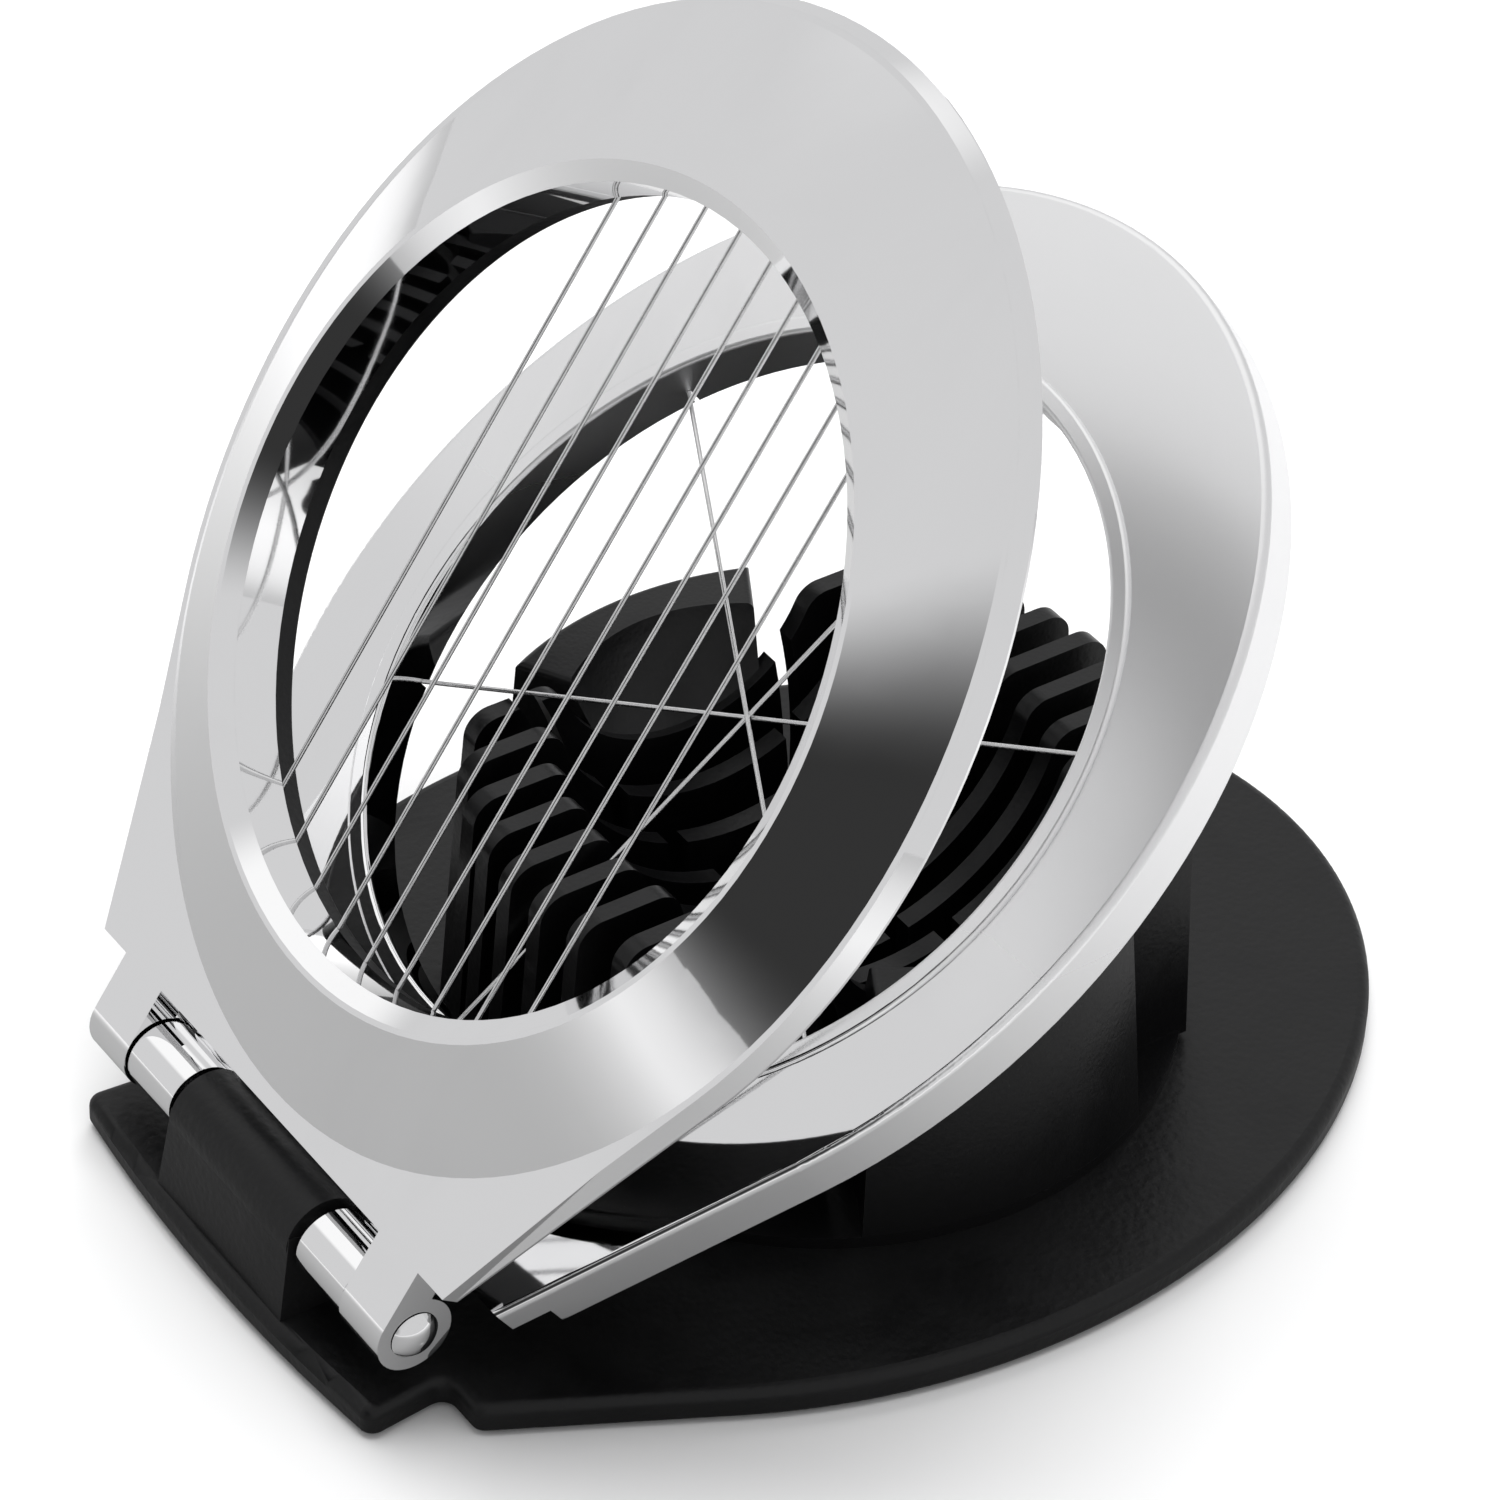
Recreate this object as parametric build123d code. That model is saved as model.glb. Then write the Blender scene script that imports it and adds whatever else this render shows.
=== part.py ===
from build123d import *
import math
import os

# Egg slicer with two hinged cutting frames.
# Millimetres and degrees.  The origin is on the resting surface at the middle of the base, +Z is up,
# +X runs along the hinge pin towards its domed head and +Y points from the hinge to the free ends.
# Both frames are drawn lying flat, with the hinge axis on their own X axis, and are then turned open.

# ---- base -------------------------------------------------------------------------------------
base_width = 109.0
base_half_length = 68.0        # half length of the full oval, before its hinge end is cut off
base_tip_reach = 133.0         # hinge axis to the far tip of the oval
shoulder_reach = 4.3           # hinge axis to the straight cut across the oval's hinge end
tab_reach = 7.0                # hinge axis to the front of the hinge tab
tab_half_width = 28.5
tab_root_half_width = 27.6
tab_front_bow = 1.8            # how far the tab's front edge bows out
base_shoulder = 33.4           # half width of the straight cut
plate_corner_radius = 1.6
plate_thickness = 3.4
plate_top_fillet = 1.3
plate_bottom_fillet = 0.6
foot_radius = 6.0
foot_proud = 0.6
foot_recess = 0.9
foot_spread_x = 32.0
foot_near_y = -42.0
foot_far_y = 42.0
foot_pocket_clearance = 0.1

# ---- hinge ------------------------------------------------------------------------------------
hinge_height = 12.5            # hinge axis above the resting surface
pin_radius = 1.7
pin_seat_clearance = 0.02
running_clearance = 0.05
pin_head_radius = 2.7
pin_head_height = 1.3
pin_cap_bore_depth = 0.7
pin_head_gap = 0.1
knuckle_radius = 4.5
knuckle_half_length = 11.5
knuckle_foot_flare = 0.8
knuckle_front_reach = 6.0      # hinge axis to the foot of the knuckle's slanted front
barrel_radius = 4.0
barrel_gap = 0.3               # side play between neighbouring hinge barrels
barrel_outer_x = 21.0
ear_radius = 4.3
ear_length = 7.2

# ---- outline shared by both frames --------------------------------------------------------------
shoulder_half_width = 33.0
shoulder_y = 7.0

# ---- slicing frame (upper) ----------------------------------------------------------------------
slicer_half_width = 53.0
slicer_half_length = 60.5
slicer_centre_y = 69.4
slicer_bevel_width = 1.8
slicer_bevel_height = 1.1
slicer_underside_z = 2.2
slicer_dome_rise = 5.6
slicer_notch_y = 6.6
slicer_opening_half_width = 40.3
slicer_opening_half_length = 42.2
slicer_lip_width = 2.6
slicer_lip_drop = 1.3
slicer_wall = 1.9
slicer_angle = 56.0            # opening angle from flat

# ---- wedge frame (lower) ------------------------------------------------------------------------
wedger_half_width = 53.4
wedger_half_length = 63.2
wedger_centre_y = 68.0
wedger_top_z = -1.7
wedger_band_height = 5.9
wedger_plate = 1.8
wedger_tongue_thickness = 3.4
wedger_notch_y = 7.6
wedger_web_overlap = 2.0
wedger_web_lift = 1.1
wedger_lip_root = 0.5
wedger_opening_half_width = 41.4
wedger_opening_half_length = 43.4
wedger_lip_width = 2.2
wedger_lip_rise = 0.5
wedger_wall = 1.8
wedger_band_wall = 2.2
wedger_edge_fillet = 0.8
wedger_cavity_half_length = 58.6
wedger_cavity_centre_y = 70.4
wedger_angle = 36.0

opening_centre_y = 67.4

# ---- wires and what holds them ------------------------------------------------------------------
wire_radius = 0.25
wire_count = 9
wire_pitch = 5.6
wire_grip_gap = 0.02           # slack of a wire in the slot that grips it
wire_tail = 5.0                # how far a wire runs on under the casting
star_angle = 60.0
star_wire_depth = 4.4          # top of the wedge frame to its middle wire
star_wire_count = 3
star_wire_step = 0.53          # the three cross one above another
ferrule_radius = 0.6
ferrule_length = 2.4
ferrule_clearance = 0.1
slicer_ring_thickness = 2.6
wedger_ring_thickness = 1.8
ring_inner_gap = 0.6
ring_outer_inset = 3.4
ring_bottom_inset = 0.25
screw_head_radius = 1.9
screw_head_height = 0.9
screw_shank_radius = 0.9
screw_thread_slack = 0.02
screw_head_sink = 1.0
boss_radius = 2.2

# ---- egg cradle ---------------------------------------------------------------------------------
cradle_half_width = 37.2       # at the top
cradle_half_length = 38.2
cradle_draft = 1.8             # how much wider it is at the plate
cradle_set_back = 1.2          # its middle lies this far beyond the egg's middle
cradle_height = 33.0
cradle_floor = 1.4
fin_thickness = 2.2
fin_corner = 3.0
cup_half_length = 33.5         # along X, for an egg lying across the wires
cup_half_width = 25.4
cup_depth = 24.0
cup_bottom_z = 17.2
end_wall_height = 31.0
end_wall_near_edge = 1.8
end_wall_far_edge = 0.5
end_wall_round = 0.8
star_slot_half_width = 1.2
cradle_screw_x = 31.5
cradle_screw_y = 6.5
cradle_screw_length = 9.0

# ---- places that follow from the sizes above ------------------------------------------------------
hinge_y = -(base_tip_reach - tab_reach) / 2
plate_bottom = foot_proud
plate_top = plate_bottom + plate_thickness
oval_y = hinge_y + base_tip_reach - base_half_length
cradle_y = hinge_y + opening_centre_y
ear_inner_x = barrel_outer_x + barrel_gap
ear_outer_x = ear_inner_x + ear_length
slicer_top_z = ear_radius
slicer_lip_z = slicer_top_z + slicer_dome_rise
wedger_bottom_z = wedger_top_z - wedger_band_height
wire_z = slicer_underside_z + wire_radius + wire_grip_gap
through = 400.0                # longer than anything it has to cut through

os.makedirs("parts", exist_ok=True)


def save(part, name):
    """Write one node."""
    part.label = name
    export_step(part, f"parts/{name}.step")


def oval(half_width, half_length, centre_y, z):
    """A flat oval with its long axis along Y."""
    return Plane.XY.offset(z) * Pos(0, centre_y) * Ellipse(half_width, half_length)


def oval_column(half_width, half_length, centre_y, low, high):
    return extrude(oval(half_width, half_length, centre_y, low), amount=high - low)


def prism(points, low, high):
    """A straight prism on XY from corner points."""
    outline = make_face(Polyline(*points, close=True))
    return extrude(Plane.XY.offset(low) * outline, amount=high - low)


def rod(radius, x_low, x_high, y=0.0, z=0.0):
    """A round bar along X."""
    return extrude(Plane.YZ.offset(x_low) * Pos(y, z) * Circle(radius), amount=x_high - x_low)


def side_profile(points, x_low, x_high):
    """A prism along X from corner points in Y and Z."""
    outline = make_face(Polyline(*points, close=True))
    return extrude(Plane.YZ.offset(x_low) * outline, amount=x_high - x_low)


def upright(radius, x, y, low, high):
    """A round bar along Z."""
    return extrude(Plane.XY.offset(low) * Pos(x, y) * Circle(radius), amount=high - low)


def both_sides(part):
    return part + mirror(part, about=Plane.YZ)


def flank_touch(half_width, half_length, centre_y, corner_x, corner_y):
    """Where a straight flank from the shoulder corner touches an oval."""
    u = corner_x / half_width
    v = (corner_y - centre_y) / half_length
    turn = math.atan2(v, u) + math.acos(1 / math.hypot(u, v))
    return half_width * math.cos(turn), centre_y + half_length * math.sin(turn)


def frame_slab(half_width, half_length, centre_y, low, high):
    """The oval of a frame joined to its tongue by straight flanks."""
    touch_x, touch_y = flank_touch(half_width, half_length, centre_y, shoulder_half_width, shoulder_y)
    outline = oval(half_width, half_length, centre_y, 0) + make_face(Polyline(
        (-shoulder_half_width, shoulder_y), (shoulder_half_width, shoulder_y),
        (touch_x, touch_y), (-touch_x, touch_y), close=True))
    below = Pos(0, shoulder_y - half_length) * Rectangle(4 * half_width, 2 * half_length)
    return extrude(Plane.XY.offset(low) * (outline - below), amount=high - low)


def ring_points(half_width, half_length, centre_y, angles):
    return [(half_width * math.cos(math.radians(a)), centre_y + half_length * math.sin(math.radians(a)))
            for a in angles]


def opened(part, angle):
    """Turn a frame's piece about the hinge and put it on the base."""
    return Pos(0, hinge_y, hinge_height) * Rot(angle, 0, 0) * part


def screw(x, y, head_z, length):
    """A pan-head screw pointing up, with a cross recess, its head's outer face at head_z."""
    head = upright(screw_head_radius, x, y, head_z, head_z + screw_head_height)
    head = chamfer(head.edges().sort_by(Axis.Z)[0], screw_head_height / 3)
    shank = upright(screw_shank_radius, x, y, head_z + screw_head_height, head_z + length)
    recess_width = screw_head_radius / 4
    recess = Pos(x, y, head_z) * (Box(2.4 * recess_width * 2, recess_width, screw_head_height)
                                  + Box(recess_width, 2.4 * recess_width * 2, screw_head_height))
    return head + shank - recess


# ---- base plate with its hinge knuckle --------------------------------------------------------
def base_plate():
    cut_y = hinge_y + shoulder_reach
    front_y = hinge_y - tab_reach
    reach_x, reach_y = flank_touch(base_width / 2, base_half_length, oval_y, base_shoulder, cut_y)
    outline = Pos(0, oval_y) * Ellipse(base_width / 2, base_half_length)
    outline += make_face(Polyline((-base_shoulder, cut_y), (base_shoulder, cut_y), (reach_x, reach_y),
                                  (-reach_x, reach_y), close=True))
    outline -= Pos(0, cut_y - base_half_length) * Rectangle(2 * base_width, 2 * base_half_length)
    tab_edge = ThreePointArc((-tab_half_width, front_y + tab_front_bow), (0, front_y),
                             (tab_half_width, front_y + tab_front_bow))
    tab_sides = Polyline((tab_half_width, front_y + tab_front_bow), (tab_root_half_width, cut_y + 1),
                         (-tab_root_half_width, cut_y + 1), (-tab_half_width, front_y + tab_front_bow))
    outline += make_face([tab_edge, tab_sides])
    corners = outline.vertices().filter_by(lambda v: v.Y < cut_y + 0.01)
    outline = fillet(corners, plate_corner_radius)
    plate = extrude(Plane.XY.offset(plate_bottom) * outline, amount=plate_thickness)
    plate = fillet(plate.faces().sort_by(Axis.Z)[-1].edges(), plate_top_fillet)
    plate = fillet(plate.faces().sort_by(Axis.Z)[0].edges(), plate_bottom_fillet)
    low = plate_bottom + plate_thickness / 2
    flare = knuckle_half_length + knuckle_foot_flare
    block = side_profile([(hinge_y - knuckle_front_reach, low), (hinge_y + knuckle_radius, low),
                          (hinge_y + knuckle_radius, hinge_height),
                          (hinge_y - knuckle_radius * 0.94, hinge_height + knuckle_radius * 0.34)],
                         -flare, flare)
    top = hinge_height + knuckle_radius
    draft = make_face(Polyline((-flare, low), (flare, low), (knuckle_half_length, top),
                               (-knuckle_half_length, top), close=True))
    block &= extrude(Plane.XZ.offset(-hinge_y - base_width) * draft, amount=2 * base_width)
    base = plate + block + rod(knuckle_radius, -knuckle_half_length, knuckle_half_length, hinge_y,
                               hinge_height)
    base -= rod(pin_radius + pin_seat_clearance, -through, through, hinge_y, hinge_height)
    for x, y in foot_places():
        base -= upright(foot_radius + foot_pocket_clearance, x, y, plate_bottom, plate_bottom + foot_recess)
    for x, y in cradle_screw_places():
        base -= upright(screw_shank_radius + screw_thread_slack, x, y, 0, plate_top)
        base -= upright(screw_head_radius + ferrule_clearance, x, y, 0,
                        plate_bottom + screw_head_sink + screw_head_height)
    return base


def foot_places():
    return [(x, y) for x in (-foot_spread_x, foot_spread_x) for y in (foot_near_y, foot_far_y)]


def cradle_screw_places():
    return [(x, cradle_y + y) for x in (-cradle_screw_x, cradle_screw_x)
            for y in (-cradle_screw_y, cradle_screw_y)]


def foot(x, y):
    pad = upright(foot_radius, x, y, 0, plate_bottom + foot_recess)
    return fillet(pad.edges().sort_by(Axis.Z)[0], foot_proud / 2)


# ---- egg cradle ---------------------------------------------------------------------------------
def cup_section(x):
    """The hollow for the egg, cut across at x, as seen from the side."""
    share = math.sqrt(max(0.0, 1 - (x / cup_half_length) ** 2))
    return Pos(cradle_y, cup_bottom_z + cup_depth) * Ellipse(cup_half_width * share, cup_depth * share)


def star_sweep(x, angle, wire_height):
    """The arc that a slanted wedge wire follows past x as its frame closes."""
    y = opening_centre_y + x / math.tan(math.radians(angle))
    radius = math.hypot(y, wire_height)
    return Pos(hinge_y, hinge_height) * (Circle(radius + star_slot_half_width)
                                         - Circle(radius - star_slot_half_width))


def cradle_oval(spread, z):
    """The cradle's outline, widened by spread."""
    return Plane.XY.offset(z) * Pos(0, cradle_y + cradle_set_back) * Ellipse(
        cradle_half_width + spread, cradle_half_length + spread)


def fin(x):
    """One upright fin standing across the hinge axis."""
    top = plate_top + cradle_height
    low = plate_top + cradle_floor / 2
    middle = cradle_y + cradle_set_back
    upper = cradle_half_length * math.sqrt(1 - (x / cradle_half_width) ** 2)
    lower = (cradle_half_length + cradle_draft) * math.sqrt(
        1 - (x / (cradle_half_width + cradle_draft)) ** 2)
    outline = make_face(Polyline((middle - lower, low), (middle + lower, low), (middle + upper, top),
                                 (middle - upper, top), close=True))
    outline -= cup_section(x)
    crests = outline.vertices().filter_by(lambda v: abs(v.Y - top) < 0.01)
    outline = fillet(crests, fin_corner)
    for angle, height in star_wires():
        if angle:
            outline -= star_sweep(x, angle, height)
    return extrude(Plane.YZ.offset(x - fin_thickness / 2) * outline, amount=fin_thickness)


def end_wall():
    """The thick curved wall at the +X end of the egg, between the two slanted wires."""
    bottom = plate_top + cradle_floor / 2
    top = plate_top + end_wall_height
    near_x = (wire_count / 2 - 0.5) * wire_pitch + (wire_pitch - fin_thickness) / 2
    far_x = cradle_half_width + 2 * cradle_draft
    slope = 1 / math.tan(math.radians(star_angle))
    near_edge = star_slot_half_width + end_wall_near_edge
    far_edge = star_slot_half_width + end_wall_far_edge

    def plan(z, shift):
        return Plane.XY.offset(z) * make_face(Polyline(
            (near_x, cradle_y - near_x * slope + near_edge), (far_x, cradle_y - far_x * slope + near_edge),
            (far_x, cradle_y + far_x * slope - far_edge - shift),
            (near_x, cradle_y + near_x * slope - far_edge - shift), close=True))

    swing_radius = opening_centre_y + near_x * slope
    rise = top - hinge_height
    swing = swing_radius - math.sqrt(swing_radius ** 2 - rise ** 2)
    wall = loft([plan(bottom, 0), plan(top, swing)])
    wall &= loft([cradle_oval(cradle_draft, bottom), cradle_oval(0, top)])
    return fillet(wall.faces().sort_by(Axis.Z)[-1].edges(), end_wall_round)


def egg_cup():
    ball = Sphere(1.0)
    return Pos(0, cradle_y, cup_bottom_z + cup_depth) * scale(ball, by=(cup_half_length, cup_half_width,
                                                                       cup_depth))


def egg_cradle():
    cradle = extrude(cradle_oval(cradle_draft, plate_top), amount=cradle_floor)
    fin_x = [(i + 0.5) * wire_pitch for i in range((wire_count + 1) // 2)]
    for x in fin_x:
        cradle += fin(x)
        cradle += fin(-x)
    wall = end_wall() - egg_cup()
    cradle += wall
    cradle += mirror(wall, about=Plane.YZ)
    for x, y in cradle_screw_places():
        cradle -= upright(screw_shank_radius + screw_thread_slack, x, y, plate_top,
                          plate_top + cradle_screw_length)
    return cradle


# ---- slicing frame: a thin die-cast shell, domed up to its opening -------------------------------
def slicer_screw_places():
    return ring_points(slicer_half_width - 6.2, slicer_half_length - 8.5, slicer_centre_y - 1.0,
                       (0, 38, 142, 180, 218, 322))


def slicing_frame():
    bevel_top = frame_slab(slicer_half_width, slicer_half_length, slicer_centre_y,
                           slicer_underside_z, slicer_top_z)
    skirt = frame_slab(slicer_half_width + slicer_bevel_width, slicer_half_length + slicer_bevel_width,
                       slicer_centre_y, slicer_underside_z, slicer_top_z)
    outer_edges = skirt.faces().sort_by(Axis.Z)[-1].edges().filter_by(
        lambda e: e.center().Y > shoulder_y + 1)
    skirt = chamfer(outer_edges, slicer_bevel_height, slicer_bevel_width,
                    reference=skirt.faces().sort_by(Axis.Z)[-1])
    slab = skirt + bevel_top
    dome = loft([oval(slicer_half_width, slicer_half_length, slicer_centre_y, slicer_top_z),
                 oval(slicer_opening_half_width + slicer_lip_width,
                      slicer_opening_half_length + slicer_lip_width, opening_centre_y, slicer_lip_z)])
    dome &= Pos(0, shoulder_y + through / 2, 0) * Box(through, through, through)
    ears = rod(ear_radius, ear_inner_x, ear_outer_x)
    ears += side_profile([(0, 0.5), (shoulder_y + 1.5, 0.5), (shoulder_y + 1.5, slicer_top_z),
                          (0, slicer_top_z)], ear_inner_x, ear_outer_x)
    frame = slab + dome + both_sides(ears)
    cavity = loft([oval(slicer_half_width - slicer_wall, slicer_half_length - slicer_wall,
                        slicer_centre_y, slicer_underside_z - 0.01),
                   oval(slicer_opening_half_width + slicer_lip_width + 1.2,
                        slicer_opening_half_length + slicer_lip_width + 2.0,
                        opening_centre_y, slicer_lip_z - slicer_wall)])
    cavity &= Pos(0, shoulder_y + 3.5 + through / 2, 0) * Box(through, through, through)
    cavity -= oval_column(slicer_opening_half_width + slicer_wall, slicer_opening_half_length + slicer_wall,
                          opening_centre_y, 0, slicer_lip_z)
    bosses = [upright(boss_radius, x, y, slicer_underside_z, slicer_lip_z - slicer_wall)
              for x, y in slicer_screw_places()]
    for boss in bosses:
        cavity -= boss
    frame -= cavity
    frame -= oval_column(slicer_opening_half_width, slicer_opening_half_length, opening_centre_y, 0, through)
    frame -= loft([oval(slicer_opening_half_width, slicer_opening_half_length, opening_centre_y,
                        slicer_lip_z - slicer_lip_drop),
                   oval(slicer_opening_half_width + slicer_lip_width - 0.6,
                        slicer_opening_half_length + slicer_lip_width - 0.6, opening_centre_y,
                        slicer_lip_z + 0.01)])
    grip = 2 * (wire_radius + wire_grip_gap)
    frame -= oval_column(slicer_opening_half_width + slicer_wall + 0.01,
                         slicer_opening_half_length + slicer_wall + 0.01, opening_centre_y,
                         slicer_underside_z - 1, slicer_underside_z + grip)
    notch = Pos(0, slicer_notch_y - through / 2, 0) * Box(2 * ear_inner_x, through, through)
    frame -= notch
    frame -= rod(pin_radius + running_clearance, -through, through)
    for x, y in slicer_screw_places():
        frame -= upright(screw_shank_radius + screw_thread_slack, x, y, slicer_underside_z - 1,
                         slicer_underside_z + 3.0)
    return frame


def slicer_wires():
    """The nine wires: x, and the span in y that each covers."""
    spans = []
    for i in range(wire_count):
        x = (i - (wire_count - 1) / 2) * wire_pitch
        half = slicer_opening_half_length * math.sqrt(1 - (x / slicer_opening_half_width) ** 2)
        spans.append((x, half + wire_tail))
    return spans


def bar_along(x, y, angle, z, radius, start, end):
    """A round bar in the plane of a frame; angle is measured from +Y towards +X."""
    bar = extrude(Plane.XZ.offset(-start) * Circle(radius), amount=start - end)
    return Pos(x, y, z) * Rot(0, 0, -angle) * bar


def retaining_ring(half_width, half_length, centre_y, inner_gap_width, inner_gap_length, low, high):
    ring = oval_column(half_width, half_length, centre_y, low, high)
    return ring - oval_column(inner_gap_width, inner_gap_length, opening_centre_y, low - 1, high + 1)


def slicing_wire_ring():
    high = slicer_underside_z
    low = high - slicer_ring_thickness
    ring = retaining_ring(slicer_half_width - ring_outer_inset, slicer_half_length - ring_outer_inset,
                          slicer_centre_y + 0.5, slicer_opening_half_width + ring_inner_gap,
                          slicer_opening_half_length + ring_inner_gap, low, high)
    ring = fillet(ring.faces().sort_by(Axis.Z)[0].edges(), 0.4)
    for x, half in slicer_wires():
        for end in (-1, 1):
            start = end * (half + ferrule_clearance)
            stop = end * (half - ferrule_length - 2 * ferrule_clearance)
            ring -= bar_along(x, opening_centre_y, 0, wire_z, ferrule_radius + ferrule_clearance,
                              start, stop)
    for x, y in slicer_screw_places():
        ring -= upright(screw_shank_radius + ferrule_clearance, x, y, low - 1, high + 1)
        ring -= upright(screw_head_radius + ferrule_clearance, x, y, low - 1, low + screw_head_sink)
    return ring


# ---- wedge frame: a flat die-cast shell with a deep outer band -----------------------------------
def wedger_screw_places():
    return ring_points(wedger_half_width - 6.0, wedger_half_length - 11.0, wedger_centre_y + 1.0,
                       (0, 60, 120, 180, 240, 300))


def wedge_frame():
    frame = frame_slab(wedger_half_width, wedger_half_length, wedger_centre_y, wedger_bottom_z, wedger_top_z)
    rim_edges = frame.faces().sort_by(Axis.Z)[-1].edges().filter_by(lambda e: e.center().Y > shoulder_y + 1)
    frame = fillet(rim_edges, wedger_edge_fillet)
    tongue_cut = Pos(0, shoulder_y + 4 - through / 2, wedger_top_z - wedger_tongue_thickness - through / 2)
    frame -= tongue_cut * Box(through, through, through)
    lip_half_width = wedger_opening_half_width + wedger_lip_width
    lip_half_length = wedger_opening_half_length + wedger_lip_width
    lip = oval_column(lip_half_width, lip_half_length, opening_centre_y,
                      wedger_top_z - wedger_lip_root, wedger_top_z + wedger_lip_rise)
    frame += fillet(lip.edges().sort_by(Axis.Z)[-1], wedger_lip_rise * 0.9)
    cavity = oval_column(wedger_half_width - wedger_band_wall, wedger_cavity_half_length,
                         wedger_cavity_centre_y, wedger_bottom_z - 1, wedger_top_z - wedger_plate)
    cavity -= oval_column(wedger_opening_half_width + wedger_wall, wedger_opening_half_length + wedger_wall,
                          opening_centre_y, wedger_bottom_z - 2, wedger_top_z)
    for x, y in wedger_screw_places():
        cavity -= upright(boss_radius, x, y, ring_seat_z(), wedger_top_z)
    frame -= cavity
    opening = oval_column(wedger_opening_half_width, wedger_opening_half_length, opening_centre_y,
                          -through, through)
    frame -= opening
    opening_edge = frame.faces().sort_by(Axis.Z)[-1].edges().sort_by(SortBy.LENGTH)[0]
    frame = fillet(opening_edge, wedger_lip_rise)
    web_low = wedger_top_z - wedger_tongue_thickness
    web_y = wedger_notch_y + wedger_web_overlap
    barrel_inner_x = knuckle_half_length + knuckle_foot_flare + barrel_gap
    barrels = rod(barrel_radius, barrel_inner_x, barrel_outer_x)
    barrels += side_profile([(0, web_low + wedger_web_lift), (web_y, web_low), (web_y, wedger_top_z),
                             (barrel_radius * 0.9, wedger_top_z)], barrel_inner_x, barrel_outer_x)
    frame += both_sides(barrels)
    frame -= Pos(0, wedger_notch_y - through / 2, 0) * Box(2 * barrel_inner_x, through, through)
    frame -= rod(pin_radius + running_clearance, -through, through)
    for angle, height in star_wires():
        frame -= star_slot(angle, height)
    for x, y in wedger_screw_places():
        frame -= upright(screw_shank_radius + screw_thread_slack, x, y, wedger_bottom_z, wedger_top_z
                         - wedger_plate)
    return frame


def ring_seat_z():
    """Top of the wedge frame's retaining ring."""
    return wedger_bottom_z + ring_bottom_inset + wedger_ring_thickness


def star_wires():
    """Angle from +Y and height of each wedge wire."""
    steps = [i - (star_wire_count - 1) / 2 for i in range(star_wire_count)]
    return [(step * star_angle, wedger_top_z - star_wire_depth - step * star_wire_step) for step in steps]


def star_half_span(angle):
    """Half the distance across the wedge opening along a wire at this angle from +Y."""
    a = math.sin(math.radians(angle)) / wedger_opening_half_width
    b = math.cos(math.radians(angle)) / wedger_opening_half_length
    return 1 / math.hypot(a, b)


def star_slot(angle, wire_height):
    """The notch in the opening's wall that a wedge wire lies in."""
    length = 2 * (star_half_span(angle) + wedger_wall + 1.2)
    width = 2 * (wire_radius + wire_grip_gap)
    top = wire_height + wire_radius + wire_grip_gap
    low = wedger_bottom_z - 1
    return Pos(0, opening_centre_y, (low + top) / 2) * Rot(0, 0, -angle) * Box(width, length, top - low)


def wedge_wire_ring():
    low = wedger_bottom_z + ring_bottom_inset
    high = ring_seat_z()
    ring = retaining_ring(wedger_half_width - wedger_band_wall - 0.4, wedger_cavity_half_length - 0.4,
                          wedger_cavity_centre_y, wedger_opening_half_width + wedger_wall + 0.4,
                          wedger_opening_half_length + wedger_wall + 0.4, low, high)
    for angle, height in star_wires():
        half = star_half_span(angle) + wire_tail
        groove_top = high + 1
        groove_low = height - wire_radius - wire_grip_gap
        groove = Pos(0, opening_centre_y, (groove_low + groove_top) / 2) * Rot(0, 0, -angle) * Box(
            2 * (wire_radius + wire_grip_gap), 2 * (half + ferrule_clearance), groove_top - groove_low)
        ring -= groove
        for end in (-1, 1):
            start = end * (half + ferrule_clearance)
            stop = end * (half - ferrule_length - 2 * ferrule_clearance)
            ring -= bar_along(0, opening_centre_y, angle, height, ferrule_radius + ferrule_clearance,
                              start, stop)
    for x, y in wedger_screw_places():
        ring -= upright(screw_shank_radius + ferrule_clearance, x, y, low - 1, high + 1)
        ring -= upright(screw_head_radius + ferrule_clearance, x, y, low - 1, low + screw_head_height)
    return ring


# ---- hinge pin ----------------------------------------------------------------------------------
def headed_bar(radius, length):
    """A bar along X whose polished domed head starts at x = length; the bar's axis is the hinge axis."""
    ball_radius = (pin_head_radius ** 2 + pin_head_height ** 2) / (2 * pin_head_height)
    half_turn = math.asin(pin_head_radius / ball_radius) / 2
    centre_x = length + pin_head_height - ball_radius
    crown = centre_x + ball_radius * math.cos(half_turn), ball_radius * math.sin(half_turn)
    tip = length + pin_head_height
    dome = ThreePointArc((length, pin_head_radius), crown, (tip, 0))
    head = revolve(make_face([dome, Polyline((tip, 0), (length, 0), (length, pin_head_radius))]), Axis.X)
    return head + rod(radius, -length - pin_cap_bore_depth, length)


def hinge_pin():
    return Pos(0, hinge_y, hinge_height) * headed_bar(pin_radius, ear_outer_x + pin_head_gap)


def pin_cap():
    face = ear_outer_x + pin_head_gap
    cap = headed_bar(pin_radius, face) - rod(pin_head_radius, -through, face)
    cap -= rod(pin_radius + pin_seat_clearance, 0, face + pin_cap_bore_depth + pin_seat_clearance)
    return Pos(0, hinge_y, hinge_height) * mirror(cap, about=Plane.YZ)


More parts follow.
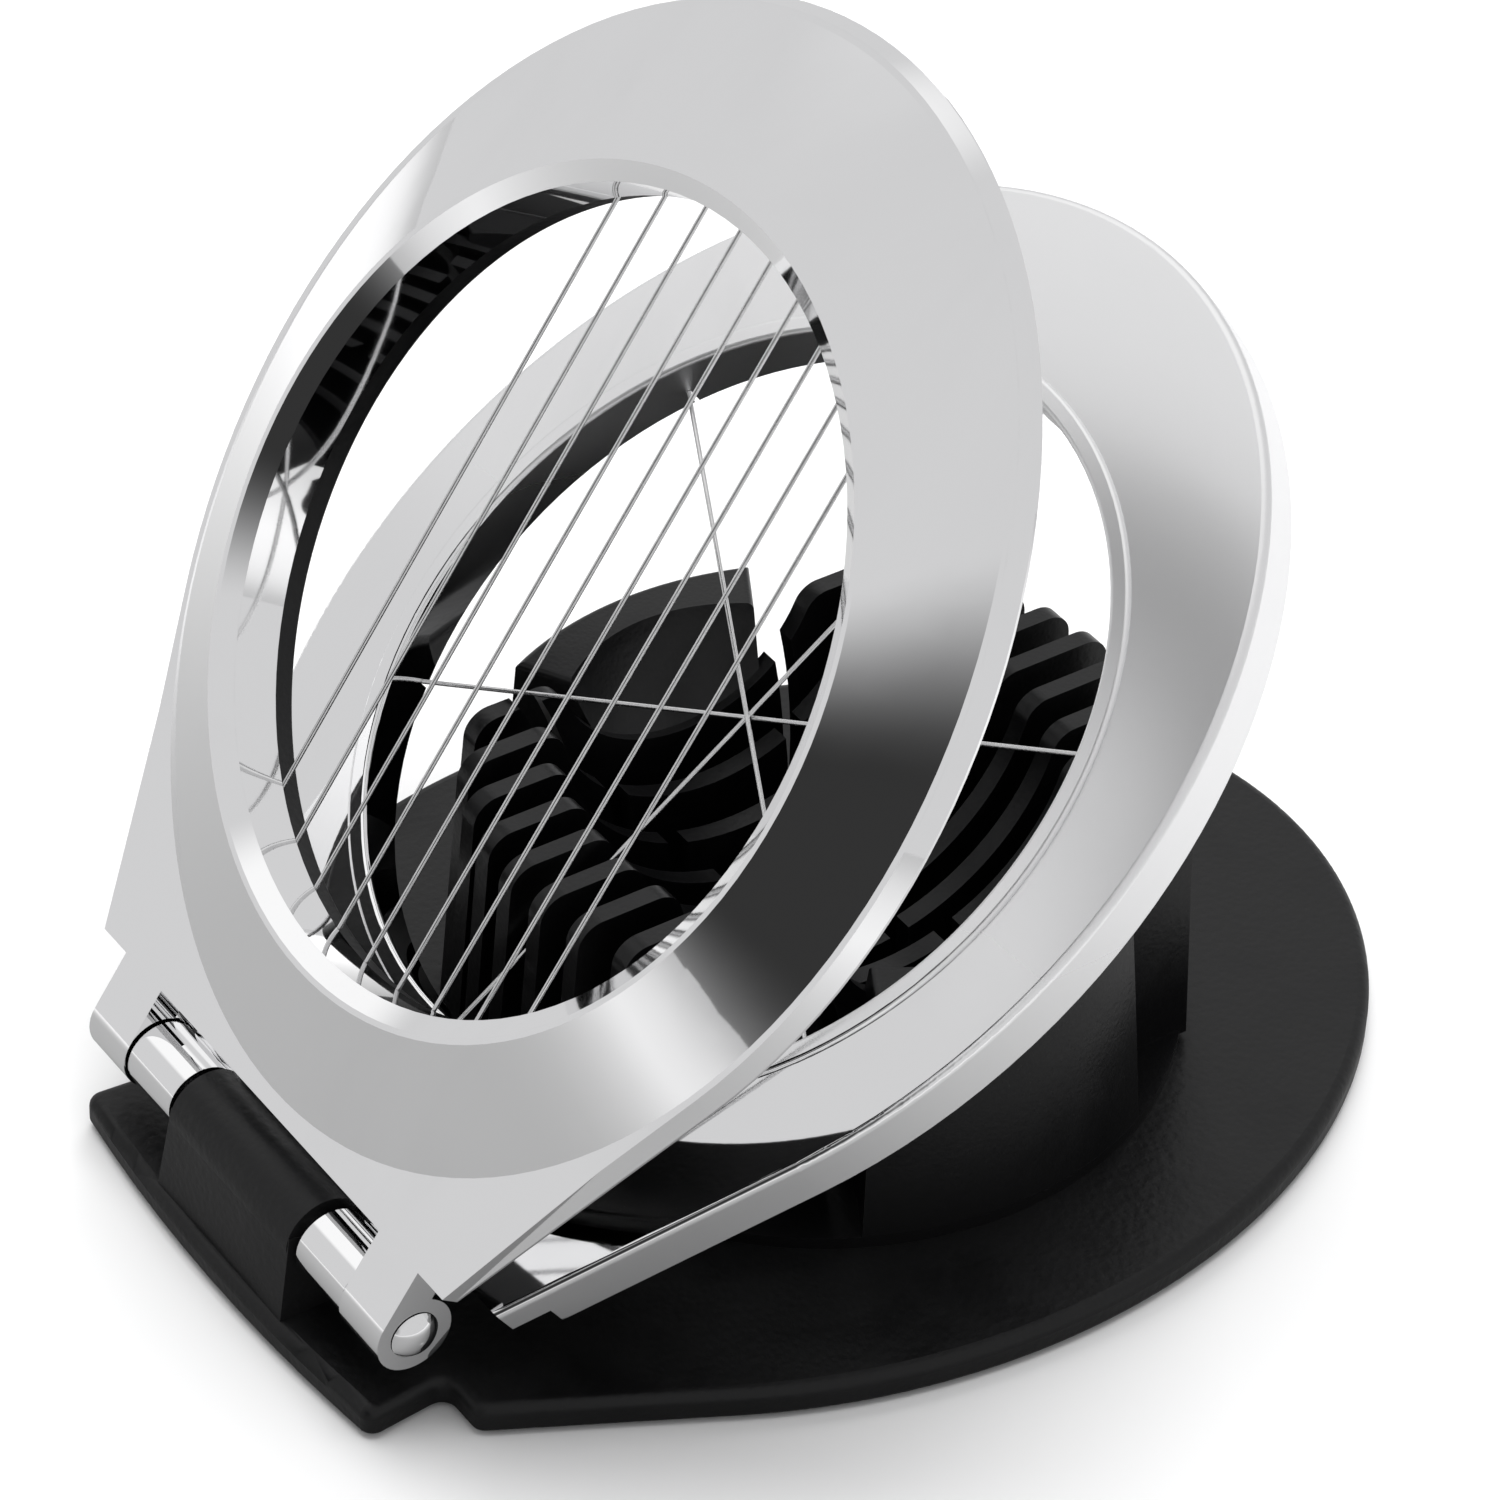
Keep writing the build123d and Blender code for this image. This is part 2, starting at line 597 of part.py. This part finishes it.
# ---- write every node ---------------------------------------------------------------------------
save(base_plate(), "base_plate")
save(egg_cradle(), "egg_cradle")
save(Compound([screw(x, y, plate_bottom + screw_head_sink, cradle_screw_length)
               for x, y in cradle_screw_places()]), "cradle_screws")
foot_names = ("left_near", "left_far", "right_near", "right_far")
for name, (x, y) in zip(foot_names, foot_places()):
    save(foot(x, y), f"foot_{name}")
save(hinge_pin(), "hinge_pin")
save(pin_cap(), "hinge_pin_cap")

save(opened(wedge_frame(), wedger_angle), "wedge_frame")
save(opened(wedge_wire_ring(), wedger_angle), "wedge_wire_ring")
ring_low = wedger_bottom_z + ring_bottom_inset
save(opened(Compound([screw(x, y, ring_low, wedger_band_height - wedger_plate - ring_bottom_inset - 0.3)
                      for x, y in wedger_screw_places()]), wedger_angle), "wedge_ring_screws")
star_ferrules = []
for number, (angle, height) in enumerate(star_wires(), start=1):
    half = star_half_span(angle) + wire_tail
    core = half - ferrule_length
    wire = bar_along(0, opening_centre_y, angle, height, wire_radius, -core, core)
    save(opened(wire, wedger_angle), f"wedge_wire_{number}")
    for end in (-1, 1):
        star_ferrules.append(bar_along(0, opening_centre_y, angle, height, ferrule_radius,
                                       end * core, end * half))
save(opened(Compound(star_ferrules), wedger_angle), "wedge_wire_ferrules")

save(opened(slicing_frame(), slicer_angle), "slicing_frame")
save(opened(slicing_wire_ring(), slicer_angle), "slicing_wire_ring")
ring_low = slicer_underside_z - slicer_ring_thickness
save(opened(Compound([screw(x, y, ring_low + screw_head_sink - screw_head_height,
                            slicer_ring_thickness + 2.6) for x, y in slicer_screw_places()]),
            slicer_angle), "slicing_ring_screws")
ferrules = []
for number, (x, half) in enumerate(slicer_wires(), start=1):
    core = half - ferrule_length
    wire = bar_along(x, opening_centre_y, 0, wire_z, wire_radius, -core, core)
    save(opened(wire, slicer_angle), f"slicing_wire_{number}")
    for end in (-1, 1):
        ferrules.append(bar_along(x, opening_centre_y, 0, wire_z, ferrule_radius, end * core, end * half))
save(opened(Compound(ferrules), slicer_angle), "slicing_wire_ferrules")
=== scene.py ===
import bmesh
import bpy
from mathutils import Matrix, Vector

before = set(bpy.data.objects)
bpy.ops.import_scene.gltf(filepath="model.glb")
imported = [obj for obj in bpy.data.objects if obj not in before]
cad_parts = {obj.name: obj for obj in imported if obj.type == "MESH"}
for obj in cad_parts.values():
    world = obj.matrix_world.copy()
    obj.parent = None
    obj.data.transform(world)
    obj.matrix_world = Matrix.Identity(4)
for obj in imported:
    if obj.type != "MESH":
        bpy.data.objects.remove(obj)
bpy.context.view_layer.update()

# ---- Base plate ----------------------------------------------------------------------------------
# A flat oval moulding of black ABS with a rounded rim and a raised knuckle for the hinge.
# Its top comes out of a spark-eroded tool, so it has a fine leathery pebble and a soft satin shine.

black_abs = (0.003, 0.003, 0.0033, 1.0)
scuffed_abs = (0.008, 0.008, 0.0085, 1.0)


def new_group(name, inputs, outputs):
    """An empty shader node group with these sockets: (name, kind, default)."""
    group = bpy.data.node_groups.new(name, "ShaderNodeTree")
    for label, kind, default in inputs:
        socket = group.interface.new_socket(name=label, in_out="INPUT", socket_type=kind)
        socket.default_value = default
    for label, kind in outputs:
        group.interface.new_socket(name=label, in_out="OUTPUT", socket_type=kind)
    return group, group.nodes.new("NodeGroupInput"), group.nodes.new("NodeGroupOutput")


def add_node(tree, kind, values=None, **settings):
    node = tree.nodes.new(kind)
    for key, value in settings.items():
        setattr(node, key, value)
    for key, value in (values or {}).items():
        node.inputs[key].default_value = value
    return node


def spread(tree, source, low, high, new_low, new_high):
    """Map a 0 to 1 mask between two values, smoothly."""
    node = add_node(tree, "ShaderNodeMapRange", {"From Min": low, "From Max": high, "To Min": new_low,
                                                 "To Max": new_high}, interpolation_type="SMOOTHSTEP")
    tree.links.new(source, node.inputs["Value"])
    return node.outputs["Result"]


def mask_noise(tree, vector, scale, detail=4.0, roughness=0.55, distortion=0.0):
    node = add_node(tree, "ShaderNodeTexNoise", {"Scale": scale, "Detail": detail, "Roughness": roughness,
                                                 "Distortion": distortion})
    tree.links.new(vector, node.inputs["Vector"])
    return node.outputs["Fac"]


# Moulded pebble: small rounded cells with finer grain over them, and dull patches where hands rub it.
pebble_group, pebble_in, pebble_out = new_group(
    "moulded_pebble",
    [("Vector", "NodeSocketVector", (0, 0, 0)), ("Cell Scale", "NodeSocketFloat", 1500.0),
     ("Strength", "NodeSocketFloat", 0.2), ("Dull", "NodeSocketFloat", 0.5),
     ("Shiny", "NodeSocketFloat", 0.3)],
    [("Roughness", "NodeSocketFloat"), ("Rub", "NodeSocketFloat"), ("Normal", "NodeSocketVector")])
pebble_cells = add_node(pebble_group, "ShaderNodeTexVoronoi", feature="SMOOTH_F1")
pebble_group.links.new(pebble_in.outputs["Vector"], pebble_cells.inputs["Vector"])
pebble_group.links.new(pebble_in.outputs["Cell Scale"], pebble_cells.inputs["Scale"])
pebble_grain = mask_noise(pebble_group, pebble_in.outputs["Vector"], 3200.0, 3.0, 0.6)
pebble_height = add_node(pebble_group, "ShaderNodeMath", operation="MULTIPLY_ADD")
pebble_height.inputs[1].default_value = 0.4
pebble_group.links.new(pebble_grain, pebble_height.inputs[0])
pebble_group.links.new(pebble_cells.outputs["Distance"], pebble_height.inputs[2])
pebble_bump = add_node(pebble_group, "ShaderNodeBump", {"Distance": 0.00016})
pebble_group.links.new(pebble_in.outputs["Strength"], pebble_bump.inputs["Strength"])
pebble_group.links.new(pebble_height.outputs["Value"], pebble_bump.inputs["Height"])
pebble_rub = spread(pebble_group, mask_noise(pebble_group, pebble_in.outputs["Vector"], 42.0, 5.0, 0.6, 0.4),
                    0.42, 0.66, 0.0, 1.0)
pebble_rough = add_node(pebble_group, "ShaderNodeMapRange")
pebble_group.links.new(pebble_rub, pebble_rough.inputs["Value"])
pebble_group.links.new(pebble_in.outputs["Shiny"], pebble_rough.inputs["To Min"])
pebble_group.links.new(pebble_in.outputs["Dull"], pebble_rough.inputs["To Max"])
pebble_group.links.new(pebble_rough.outputs["Result"], pebble_out.inputs["Roughness"])
pebble_group.links.new(pebble_rub, pebble_out.inputs["Rub"])
pebble_group.links.new(pebble_bump.outputs["Normal"], pebble_out.inputs["Normal"])

# Worn edge: a thin line along the convex edges, broken up so that it isn't an even stripe.
wear_group, wear_in, wear_out = new_group(
    "worn_edge", [("Vector", "NodeSocketVector", (0, 0, 0)), ("Width", "NodeSocketFloat", 0.0005)],
    [("Edge", "NodeSocketFloat")])
wear_bevel = add_node(wear_group, "ShaderNodeBevel", samples=4)
wear_group.links.new(wear_in.outputs["Width"], wear_bevel.inputs["Radius"])
wear_geometry = add_node(wear_group, "ShaderNodeNewGeometry")
wear_dot = add_node(wear_group, "ShaderNodeVectorMath", operation="DOT_PRODUCT")
wear_group.links.new(wear_bevel.outputs["Normal"], wear_dot.inputs[0])
wear_group.links.new(wear_geometry.outputs["Normal"], wear_dot.inputs[1])
wear_line = spread(wear_group, wear_dot.outputs["Value"], 0.985, 0.88, 0.0, 1.0)
wear_break = spread(wear_group, mask_noise(wear_group, wear_in.outputs["Vector"], 260.0, 5.0, 0.7),
                    0.4, 0.62, 0.15, 1.0)
wear_mix = add_node(wear_group, "ShaderNodeMath", operation="MULTIPLY")
wear_group.links.new(wear_line, wear_mix.inputs[0])
wear_group.links.new(wear_break, wear_mix.inputs[1])
wear_group.links.new(wear_mix.outputs["Value"], wear_out.inputs["Edge"])


def new_finish(name):
    """A material with its shader and Object coordinates, ready for its own nodes."""
    material = bpy.data.materials.new(name)
    material.use_nodes = True
    tree = material.node_tree
    shader = tree.nodes["Principled BSDF"]
    place = tree.nodes.new("ShaderNodeTexCoord").outputs["Object"]
    return material, tree, shader, place


def placed_group(tree, group, place, **values):
    node = tree.nodes.new("ShaderNodeGroup")
    node.node_tree = group
    for key, value in values.items():
        node.inputs[key.replace("_", " ")].default_value = value
    tree.links.new(place, node.inputs["Vector"])
    return node


def moulded_black(name, deep, rubbed, cell_scale, strength, shiny, dull, specular):
    material, tree, shader, place = new_finish(name)
    pebble = placed_group(tree, pebble_group, place, Cell_Scale=cell_scale, Strength=strength,
                          Shiny=shiny, Dull=dull)
    worn = placed_group(tree, wear_group, place, Width=0.0006)
    tone = add_node(tree, "ShaderNodeMix", data_type="RGBA")
    tone.inputs[6].default_value = deep
    tone.inputs[7].default_value = rubbed
    either = add_node(tree, "ShaderNodeMath", operation="MAXIMUM")
    tree.links.new(worn.outputs["Edge"], either.inputs[0])
    soft_rub = add_node(tree, "ShaderNodeMath", {1: 0.45}, operation="MULTIPLY")
    tree.links.new(pebble.outputs["Rub"], soft_rub.inputs[0])
    tree.links.new(soft_rub.outputs["Value"], either.inputs[1])
    tree.links.new(either.outputs["Value"], tone.inputs["Factor"])
    tree.links.new(tone.outputs[2], shader.inputs["Base Color"])
    tree.links.new(pebble.outputs["Roughness"], shader.inputs["Roughness"])
    tree.links.new(pebble.outputs["Normal"], shader.inputs["Normal"])
    shader.inputs["Specular IOR Level"].default_value = specular
    return material


def finish_node(name, material):
    """Give a CAD node this material in every slot."""
    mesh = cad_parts[name].data
    if not mesh.materials:
        mesh.materials.append(material)
    for index in range(len(mesh.materials)):
        mesh.materials[index] = material


plate_finish = moulded_black("base_plate_abs", black_abs, scuffed_abs, 1250.0, 0.26, 0.36, 0.5, 0.3)
finish_node("base_plate", plate_finish)

# ---- Feet ----------------------------------------------------------------------------------------
# Four soft black rubber pads glued into shallow pockets under the plate.
# They are punched from sheet, so they are dull and carry a faint dusty bloom.

foot_finish, foot_tree, foot_shader, foot_place = new_finish("foot_rubber")
foot_pebble = placed_group(foot_tree, pebble_group, foot_place, Cell_Scale=2400.0, Strength=0.25,
                           Shiny=0.72, Dull=0.92)
foot_tone = add_node(foot_tree, "ShaderNodeMix", data_type="RGBA")
foot_tone.inputs[6].default_value = (0.012, 0.012, 0.012, 1)
foot_tone.inputs[7].default_value = (0.05, 0.048, 0.045, 1)
foot_tree.links.new(foot_pebble.outputs["Rub"], foot_tone.inputs["Factor"])
foot_tree.links.new(foot_tone.outputs[2], foot_shader.inputs["Base Color"])
foot_tree.links.new(foot_pebble.outputs["Roughness"], foot_shader.inputs["Roughness"])
foot_tree.links.new(foot_pebble.outputs["Normal"], foot_shader.inputs["Normal"])
for side in ("left_near", "left_far", "right_near", "right_far"):
    finish_node(f"foot_{side}", foot_finish)

# ---- Egg cradle ----------------------------------------------------------------------------------
# A tall black ABS moulding: upright fins with a hollow for the egg, and a curved wall at each end.
# It is screwed down from below, and its smoother tool leaves it a little glossier than the plate.

cradle_finish = moulded_black("cradle_abs", (0.0022, 0.0022, 0.0025, 1), (0.006, 0.006, 0.0065, 1),
                              1900.0, 0.12, 0.28, 0.4, 0.32)
finish_node("egg_cradle", cradle_finish)

# ---- Screws --------------------------------------------------------------------------------------
# Small pan-head screws of zinc-plated steel, driven up into bosses, with turning marks on the heads.

screw_finish, screw_tree, screw_shader, screw_place = new_finish("screw_zinc")
screw_tone = add_node(screw_tree, "ShaderNodeMix", data_type="RGBA")
screw_tone.inputs[6].default_value = (0.42, 0.42, 0.43, 1)
screw_tone.inputs[7].default_value = (0.62, 0.61, 0.58, 1)
screw_tree.links.new(mask_noise(screw_tree, screw_place, 900.0, 3.0), screw_tone.inputs["Factor"])
screw_tree.links.new(screw_tone.outputs[2], screw_shader.inputs["Base Color"])
screw_shader.inputs["Metallic"].default_value = 1.0
screw_tree.links.new(spread(screw_tree, mask_noise(screw_tree, screw_place, 400.0), 0.3, 0.7, 0.24, 0.42),
                     screw_shader.inputs["Roughness"])
for node in ("cradle_screws", "wedge_ring_screws", "slicing_ring_screws"):
    finish_node(node, screw_finish)

# ---- Hinge pin -----------------------------------------------------------------------------------
# A steel pin pushed through all the hinge barrels, with a polished domed head and a pressed-on cap.
# Everything bright here is chrome-plated: a mirror with faint polishing swirls and finger smears.

# Smears: where a polished surface is slightly dulled, and the fine swirls left by the buffing wheel.
smear_group, smear_in, smear_out = new_group(
    "polished_smear",
    [("Vector", "NodeSocketVector", (0, 0, 0)), ("Clean", "NodeSocketFloat", 0.03),
     ("Smeared", "NodeSocketFloat", 0.09), ("Swirl", "NodeSocketFloat", 0.02)],
    [("Roughness", "NodeSocketFloat"), ("Smear", "NodeSocketFloat"), ("Normal", "NodeSocketVector")])
smear_mask = spread(smear_group, mask_noise(smear_group, smear_in.outputs["Vector"], 28.0, 5.0, 0.62, 0.8),
                    0.46, 0.72, 0.0, 1.0)
smear_rough = add_node(smear_group, "ShaderNodeMapRange")
smear_group.links.new(smear_mask, smear_rough.inputs["Value"])
smear_group.links.new(smear_in.outputs["Clean"], smear_rough.inputs["To Min"])
smear_group.links.new(smear_in.outputs["Smeared"], smear_rough.inputs["To Max"])
smear_stretch = add_node(smear_group, "ShaderNodeMapping")
smear_stretch.inputs["Scale"].default_value = (1.0, 0.12, 0.12)
smear_group.links.new(smear_in.outputs["Vector"], smear_stretch.inputs["Vector"])
smear_lines = mask_noise(smear_group, smear_stretch.outputs["Vector"], 1400.0, 2.0, 0.5)
smear_bump = add_node(smear_group, "ShaderNodeBump", {"Distance": 0.00002})
smear_group.links.new(smear_in.outputs["Swirl"], smear_bump.inputs["Strength"])
smear_group.links.new(smear_lines, smear_bump.inputs["Height"])
smear_group.links.new(smear_rough.outputs["Result"], smear_out.inputs["Roughness"])
smear_group.links.new(smear_mask, smear_out.inputs["Smear"])
smear_group.links.new(smear_bump.outputs["Normal"], smear_out.inputs["Normal"])


def plated(name, bright, dulled, clean, smeared, swirl):
    material, tree, shader, place = new_finish(name)
    smear = placed_group(tree, smear_group, place, Clean=clean, Smeared=smeared, Swirl=swirl)
    worn = placed_group(tree, wear_group, place, Width=0.0004)
    tone = add_node(tree, "ShaderNodeMix", data_type="RGBA")
    tone.inputs[6].default_value = bright
    tone.inputs[7].default_value = dulled
    part = add_node(tree, "ShaderNodeMath", {1: 0.5}, operation="MULTIPLY")
    tree.links.new(smear.outputs["Smear"], part.inputs[0])
    either = add_node(tree, "ShaderNodeMath", operation="MAXIMUM")
    tree.links.new(part.outputs["Value"], either.inputs[0])
    tree.links.new(worn.outputs["Edge"], either.inputs[1])
    tree.links.new(either.outputs["Value"], tone.inputs["Factor"])
    tree.links.new(tone.outputs[2], shader.inputs["Base Color"])
    tree.links.new(smear.outputs["Roughness"], shader.inputs["Roughness"])
    tree.links.new(smear.outputs["Normal"], shader.inputs["Normal"])
    shader.inputs["Metallic"].default_value = 1.0
    return material


pin_chrome = plated("pin_chrome", (0.88, 0.88, 0.885, 1), (0.8, 0.8, 0.8, 1), 0.05, 0.14, 0.05)
finish_node("hinge_pin", pin_chrome)
finish_node("hinge_pin_cap", pin_chrome)

# ---- Wedge frame ---------------------------------------------------------------------------------
# The lower frame is a thin zinc die-casting with a deep outer band, buffed and chrome-plated.
# Its flat face is a mirror that turns to satin at the far end, and a bright bead runs round the opening.

chrome_bright = (0.9, 0.9, 0.905, 1)
chrome_dull = (0.86, 0.86, 0.865, 1)
chrome_clean = 0.028            # roughness where the plating is clean
chrome_smeared = 0.06           # and under a smear
chrome_swirl = 0.015
haze_start = 0.036              # height in metres at which the satin haze begins
haze_full = 0.06
haze_roughness = 0.36

# The plate is buffed to a mirror near the hinge and left with a satin haze at its far end.
wedge_chrome = plated("wedge_chrome", chrome_bright, chrome_dull, chrome_clean, chrome_smeared, chrome_swirl)
wedge_tree = wedge_chrome.node_tree
wedge_shader = wedge_tree.nodes["Principled BSDF"]
wedge_height = wedge_tree.nodes.new("ShaderNodeSeparateXYZ")
wedge_place = wedge_tree.nodes.new("ShaderNodeTexCoord").outputs["Object"]
wedge_tree.links.new(wedge_place, wedge_height.inputs["Vector"])
wedge_haze = spread(wedge_tree, wedge_height.outputs["Z"], haze_start, haze_full, 0.0, haze_roughness)
wedge_rough = add_node(wedge_tree, "ShaderNodeMath", operation="ADD")
wedge_tree.links.new(wedge_shader.inputs["Roughness"].links[0].from_socket, wedge_rough.inputs[0])
wedge_tree.links.new(wedge_haze, wedge_rough.inputs[1])
wedge_tree.links.new(wedge_rough.outputs["Value"], wedge_shader.inputs["Roughness"])
finish_node("wedge_frame", wedge_chrome)

# ---- Wedge wires and their ring ------------------------------------------------------------------
# Three drawn stainless wires cross at the middle, each with a crimped sleeve at both ends.
# A black ABS ring screwed up into the band clamps them.

wire_finish, wire_tree, wire_shader, wire_place = new_finish("drawn_wire")
wire_tone = add_node(wire_tree, "ShaderNodeMix", data_type="RGBA")
wire_tone.inputs[6].default_value = (0.62, 0.62, 0.625, 1)
wire_tone.inputs[7].default_value = (0.78, 0.78, 0.78, 1)
wire_tree.links.new(mask_noise(wire_tree, wire_place, 600.0, 3.0), wire_tone.inputs["Factor"])
wire_tree.links.new(wire_tone.outputs[2], wire_shader.inputs["Base Color"])
wire_tree.links.new(spread(wire_tree, mask_noise(wire_tree, wire_place, 900.0), 0.3, 0.7, 0.16, 0.3),
                    wire_shader.inputs["Roughness"])
wire_shader.inputs["Metallic"].default_value = 1.0
ring_finish = moulded_black("ring_abs", (0.003, 0.003, 0.0033, 1), (0.008, 0.008, 0.0085, 1),
                            1500.0, 0.16, 0.32, 0.46, 0.3)
for number in (1, 2, 3):
    finish_node(f"wedge_wire_{number}", wire_finish)
finish_node("wedge_wire_ferrules", wire_finish)
finish_node("wedge_wire_ring", ring_finish)

# ---- Slicing frame -------------------------------------------------------------------------------
# The upper frame is the same chrome-plated casting, but its face rises in a dome to the opening.
# Two ears at its hinge end close over the ends of the pin.

frame_chrome = plated("frame_chrome", chrome_bright, chrome_dull, chrome_clean, chrome_smeared,
                      chrome_swirl)
finish_node("slicing_frame", frame_chrome)

# ---- Slicing wires and their ring ----------------------------------------------------------------
# Nine parallel drawn wires, stretched under the casting and clamped by a black ABS ring.

for number in range(1, 10):
    finish_node(f"slicing_wire_{number}", wire_finish)
finish_node("slicing_wire_ferrules", wire_finish)
finish_node("slicing_wire_ring", ring_finish)

# ---- Floor ---------------------------------------------------------------------------------------
# A plain pale floor, flat under the object.

floor_size = 6.0
painted_shade_near = 0.06               # distance from the hinge over which the painted reflection shade on the paper gets lighter
painted_shade_far = 0.34
floor_mesh = bpy.data.meshes.new("floor")
floor_shape = bmesh.new()
bmesh.ops.create_grid(floor_shape, x_segments=2, y_segments=2, size=floor_size / 2)
floor_shape.to_mesh(floor_mesh)
floor_shape.free()
floor = bpy.data.objects.new("floor", floor_mesh)
bpy.context.scene.collection.objects.link(floor)
floor_paint, floor_tree, floor_shader, floor_place = new_finish("floor_paint")
floor_tone = add_node(floor_tree, "ShaderNodeMix", data_type="RGBA")
floor_tone.inputs[6].default_value = (0.86, 0.86, 0.86, 1)
floor_tone.inputs[7].default_value = (0.84, 0.84, 0.84, 1)
floor_tree.links.new(mask_noise(floor_tree, floor_place, 3.0), floor_tone.inputs["Factor"])
# Painted reflection: glossy rays see the paper near the object as a greyer sweep of painted shade that gets
# lighter further out, while the camera sees the plain paper.
painted_shade_distance = add_node(floor_tree, "ShaderNodeVectorMath", operation="DISTANCE")
painted_shade_distance.inputs[1].default_value = (0.0, -0.1, 0.0)
floor_tree.links.new(floor_place, painted_shade_distance.inputs[0])
floor_painted_reflection = add_node(floor_tree, "ShaderNodeMix", data_type="RGBA")
floor_painted_reflection.inputs[6].default_value = (0.34, 0.34, 0.34, 1)
floor_painted_reflection.inputs[7].default_value = (0.78, 0.78, 0.78, 1)
floor_tree.links.new(spread(floor_tree, painted_shade_distance.outputs["Value"], painted_shade_near, painted_shade_far, 0.0, 1.0),
                     floor_painted_reflection.inputs["Factor"])
# Painted reflection: glossy rays get the painted shade tone, and camera rays get the plain paper tone.
floor_and_painted_reflection = add_node(floor_tree, "ShaderNodeMix", data_type="RGBA")
floor_tree.links.new(floor_tree.nodes.new("ShaderNodeLightPath").outputs["Is Glossy Ray"],
                     floor_and_painted_reflection.inputs["Factor"])
floor_tree.links.new(floor_tone.outputs[2], floor_and_painted_reflection.inputs[6])
floor_tree.links.new(floor_painted_reflection.outputs[2], floor_and_painted_reflection.inputs[7])
floor_tree.links.new(floor_and_painted_reflection.outputs[2], floor_shader.inputs["Base Color"])
floor_shader.inputs["Roughness"].default_value = 0.6
floor_shader.inputs["Specular IOR Level"].default_value = 0.2
floor_mesh.materials.append(floor_paint)

# ---- Light ---------------------------------------------------------------------------------------
# A pale grey room with a brighter ceiling on one side and a soft dark screen on the other.
# The chrome shows the screen as a dark band; two soft boxes light the floor and the edges.

world = bpy.data.worlds.new("studio")
bpy.context.scene.world = world
world.use_nodes = True
world_tree = world.node_tree
backdrop = world_tree.nodes["Background"]
look = world_tree.nodes.new("ShaderNodeTexCoord").outputs["Generated"]
room_grey = (0.69, 0.69, 0.695, 1)
ceiling_white = (1.05, 1.05, 1.05, 1)
screen_black = (0.035, 0.035, 0.035, 1)


def room_patch(under, tint, toward, edge, middle):
    """Lay a soft round patch of this tint over the room, in this direction."""
    patch = add_node(world_tree, "ShaderNodeMix", data_type="RGBA")
    patch.inputs[7].default_value = tint
    facing = add_node(world_tree, "ShaderNodeVectorMath", operation="DOT_PRODUCT")
    facing.inputs[1].default_value = Vector(toward).normalized()
    world_tree.links.new(look, facing.inputs[0])
    world_tree.links.new(spread(world_tree, facing.outputs["Value"], edge, middle, 0.0, 1.0),
                         patch.inputs["Factor"])
    if isinstance(under, tuple):
        patch.inputs[6].default_value = under
    else:
        world_tree.links.new(under, patch.inputs[6])
    return patch.outputs[2]


bright_side = room_patch(room_grey, ceiling_white, (-0.55, 0.10, 0.83), 0.83, 0.905)
whole_room = room_patch(bright_side, screen_black, (0.32, -0.90, 0.28), 0.86, 0.985)
world_tree.links.new(whole_room, backdrop.inputs["Color"])
backdrop.inputs["Strength"].default_value = 1.0


def soft_box(name, place, aim, width, height, power):
    lamp = bpy.data.lights.new(name, "AREA")
    lamp.shape = "RECTANGLE"
    lamp.size = width
    lamp.size_y = height
    lamp.energy = power
    holder = bpy.data.objects.new(name, lamp)
    holder.location = place
    holder.rotation_euler = (Vector(aim) - Vector(place)).to_track_quat("-Z", "Y").to_euler()
    holder.visible_glossy = False
    bpy.context.scene.collection.objects.link(holder)


soft_box("top_box", (-0.1, 0.1, 1.1), (0, 0, 0), 0.9, 0.9, 9.0)
soft_box("back_box", (-0.7, 0.8, 0.6), (0, 0, 0.05), 0.6, 0.6, 5.0)

# ---- Camera --------------------------------------------------------------------------------------
# Set up as the object is normally shown: open, seen from the hinge end's right and from above.

camera_data = bpy.data.cameras.new("camera")
camera_data.sensor_fit = "HORIZONTAL"
camera_data.sensor_width = 36.0
camera_data.lens = 144.759
camera_data.clip_start = 0.01
camera_data.clip_end = 50.0
camera = bpy.data.objects.new("camera", camera_data)
camera.matrix_world = Matrix(((0.566252, -0.529406, 0.631734, 0.38879),
                              (0.823349, 0.327842, -0.463268, -0.29057),
                              (0.038148, 0.782464, 0.621527, 0.42543),
                              (0, 0, 0, 1)))
bpy.context.scene.collection.objects.link(camera)
bpy.context.scene.camera = camera
bpy.context.scene.view_settings.view_transform = "Standard"
